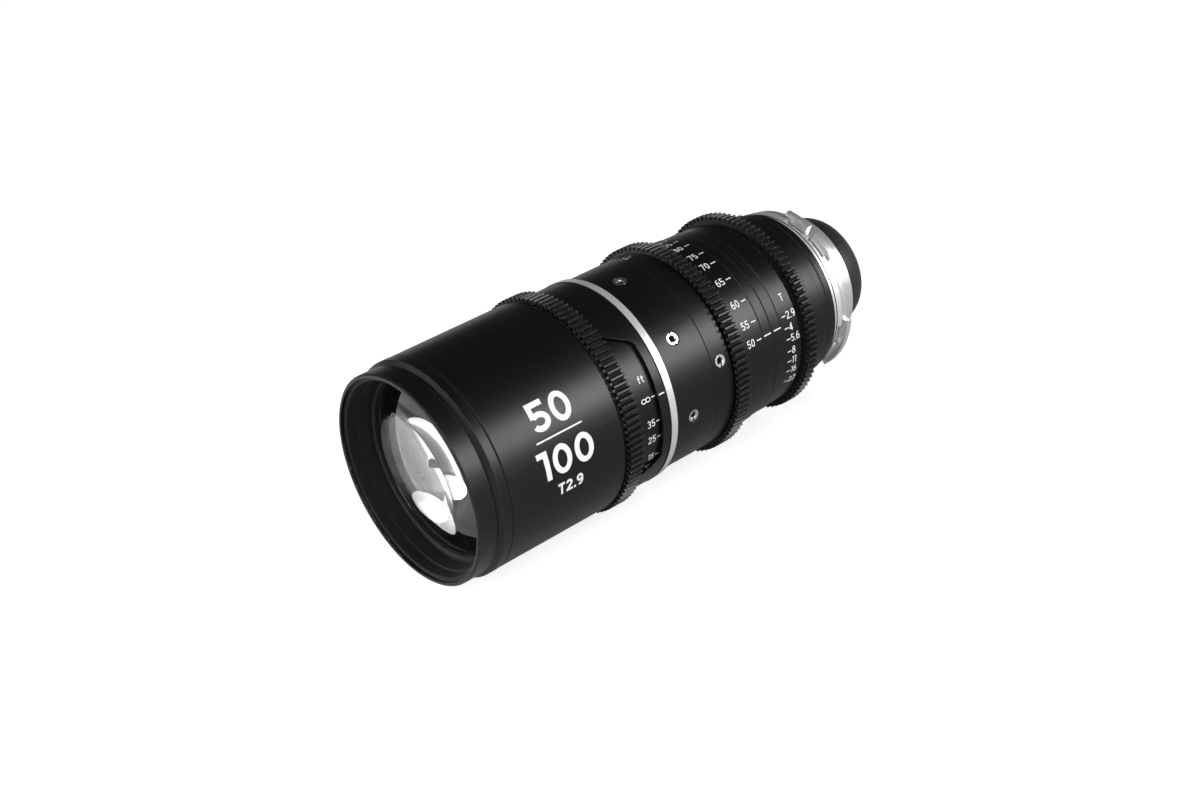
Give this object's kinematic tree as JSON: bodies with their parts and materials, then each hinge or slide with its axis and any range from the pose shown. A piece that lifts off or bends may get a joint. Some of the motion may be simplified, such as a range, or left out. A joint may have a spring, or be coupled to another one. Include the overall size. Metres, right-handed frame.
{
  "type": "cinema zoom lens",
  "caption": "Cinema zoom lens with geared focus, zoom and iris rings, sliding inner glass groups, a leaf diaphragm that opens and closes, and a flanged rear mount.",
  "frame": {"origin": "centre of the flange seat at the rear, on the optical axis, where the flange plate meets the camera", "axes": "+Y along the optical axis towards the camera, so the front of the lens faces -Y; +Z is the top of the lens; +X is the side with the index marks; set focus far, zoom at its widest and the iris near open at rest"},
  "size_m": [0.0824, 0.2041, 0.0824],
  "materials": {
    "black_barrel": "black anodised, satin",
    "black_ring": "black anodised, satin, with engraved marks",
    "dark_cell": "black anodised, matte",
    "carriage_metal": "dark anodised",
    "glass": "coated optical glass",
    "brass": "turned",
    "bright_metal": "clear anodised, fine turned",
    "mount_steel": "plated, satin",
    "screw_steel": "bright",
    "blade_steel": "blackened",
    "baffle_black": "black, matte"
  },
  "bodies": {
    "lens_body": {"front_ring": "black_barrel", "front_barrel": "black_barrel", "front_cell": "dark_cell", "front_glass": "glass", "front_retainer": "dark_cell", "front_spacer": "dark_cell", "second_glass": "glass", "main_tube": "dark_cell", "window_cover": "black_barrel", "trim_ring": "bright_metal", "mid_barrel": "black_barrel", "rear_sleeve": "black_barrel", "front_screws": "screw_steel", "rear_screws": "screw_steel", "guide_tube": "dark_cell", "index_ring_front": "black_barrel", "index_ring_rear": "black_barrel", "iris_base": "dark_cell", "rear_barrel": "black_barrel", "rear_cell": "dark_cell", "rear_glass": "glass", "rear_spacer": "dark_cell", "last_glass": "glass", "rear_retainer": "dark_cell", "mount_neck": "bright_metal", "mount_shim": "mount_steel", "mount_flange": "mount_steel", "mount_screws": "screw_steel", "rear_baffle": "baffle_black"},
    "focus_ring_body": {"focus_ring": "black_ring"},
    "focus_group": {"focus_carriage": "carriage_metal", "focus_glass": "glass", "focus_retainer": "dark_cell", "focus_pins": "brass"},
    "zoom_ring_body": {"zoom_ring": "black_ring", "cam_sleeve": "brass", "zoom_key": "screw_steel"},
    "variator_group": {"variator_carriage": "carriage_metal", "variator_glass": "glass", "variator_retainer": "dark_cell", "variator_pins": "brass"},
    "compensator_group": {"compensator_carriage": "carriage_metal", "compensator_glass": "glass", "compensator_retainer": "dark_cell", "compensator_pins": "brass"},
    "iris_ring_body": {"iris_ring": "black_ring", "iris_drive_ring": "carriage_metal", "iris_key": "screw_steel"},
    "blade_1": {"iris_blade_1": "blade_steel"},
    "blade_2": {"iris_blade_2": "blade_steel"},
    "blade_3": {"iris_blade_3": "blade_steel"},
    "blade_4": {"iris_blade_4": "blade_steel"},
    "blade_5": {"iris_blade_5": "blade_steel"},
    "blade_6": {"iris_blade_6": "blade_steel"},
    "blade_7": {"iris_blade_7": "blade_steel"},
    "blade_8": {"iris_blade_8": "blade_steel"},
    "blade_9": {"iris_blade_9": "blade_steel"}
  },
  "joints": [
    {"name": "focus_turn", "type": "hinge", "parent": "lens_body", "child": "focus_ring_body", "pos_m": [0, -0.111, 0], "axis": [0, -1, 0], "range_deg": [0, 205]},
    {"name": "focus_slide", "type": "slide", "parent": "lens_body", "child": "focus_group", "axis": [0, -1, 0], "range_m": [0, 0.008]},
    {"name": "zoom_turn", "type": "hinge", "parent": "lens_body", "child": "zoom_ring_body", "pos_m": [0, -0.058, 0], "axis": [0, 1, 0], "range_deg": [0, 105]},
    {"name": "variator_slide", "type": "slide", "parent": "lens_body", "child": "variator_group", "axis": [0, 1, 0], "range_m": [0, 0.014]},
    {"name": "compensator_slide", "type": "slide", "parent": "lens_body", "child": "compensator_group", "axis": [0, -1, 0], "range_m": [0, 0.006]},
    {"name": "iris_turn", "type": "hinge", "parent": "lens_body", "child": "iris_ring_body", "pos_m": [0, -0.032, 0], "axis": [0, -1, 0], "range_deg": [-4.75, 38.75]},
    {"name": "blade_1_turn", "type": "hinge", "parent": "lens_body", "child": "blade_1", "pos_m": [0.0255, -0.0355, 0], "axis": [0, 1, 0], "range_deg": [-4, 30]},
    {"name": "blade_2_turn", "type": "hinge", "parent": "lens_body", "child": "blade_2", "pos_m": [0.01953, -0.0355, -0.01639], "axis": [0, 1, 0], "range_deg": [-4, 30]},
    {"name": "blade_3_turn", "type": "hinge", "parent": "lens_body", "child": "blade_3", "pos_m": [0.00443, -0.0355, -0.02511], "axis": [0, 1, 0], "range_deg": [-4, 30]},
    {"name": "blade_4_turn", "type": "hinge", "parent": "lens_body", "child": "blade_4", "pos_m": [-0.01275, -0.0355, -0.02208], "axis": [0, 1, 0], "range_deg": [-4, 30]},
    {"name": "blade_5_turn", "type": "hinge", "parent": "lens_body", "child": "blade_5", "pos_m": [-0.02396, -0.0355, -0.00872], "axis": [0, 1, 0], "range_deg": [-4, 30]},
    {"name": "blade_6_turn", "type": "hinge", "parent": "lens_body", "child": "blade_6", "pos_m": [-0.02396, -0.0355, 0.00872], "axis": [0, 1, 0], "range_deg": [-4, 30]},
    {"name": "blade_7_turn", "type": "hinge", "parent": "lens_body", "child": "blade_7", "pos_m": [-0.01275, -0.0355, 0.02208], "axis": [0, 1, 0], "range_deg": [-4, 30]},
    {"name": "blade_8_turn", "type": "hinge", "parent": "lens_body", "child": "blade_8", "pos_m": [0.00443, -0.0355, 0.02511], "axis": [0, 1, 0], "range_deg": [-4, 30]},
    {"name": "blade_9_turn", "type": "hinge", "parent": "lens_body", "child": "blade_9", "pos_m": [0.01953, -0.0355, 0.01639], "axis": [0, 1, 0], "range_deg": [-4, 30]}
  ],
  "couplings": [
    {"joint": "focus_slide", "follows": "focus_turn", "m_per_rad": 0.0022359},
    {"joint": "variator_slide", "follows": "zoom_turn", "m_per_rad": 0.0076394},
    {"joint": "compensator_slide", "follows": "zoom_turn", "m_per_rad": 0.003274},
    {"joint": "blade_1_turn", "follows": "iris_turn", "ratio": 0.75862},
    {"joint": "blade_2_turn", "follows": "iris_turn", "ratio": 0.75862},
    {"joint": "blade_3_turn", "follows": "iris_turn", "ratio": 0.75862},
    {"joint": "blade_4_turn", "follows": "iris_turn", "ratio": 0.75862},
    {"joint": "blade_5_turn", "follows": "iris_turn", "ratio": 0.75862},
    {"joint": "blade_6_turn", "follows": "iris_turn", "ratio": 0.75862},
    {"joint": "blade_7_turn", "follows": "iris_turn", "ratio": 0.75862},
    {"joint": "blade_8_turn", "follows": "iris_turn", "ratio": 0.75862},
    {"joint": "blade_9_turn", "follows": "iris_turn", "ratio": 0.75862}
  ]
}
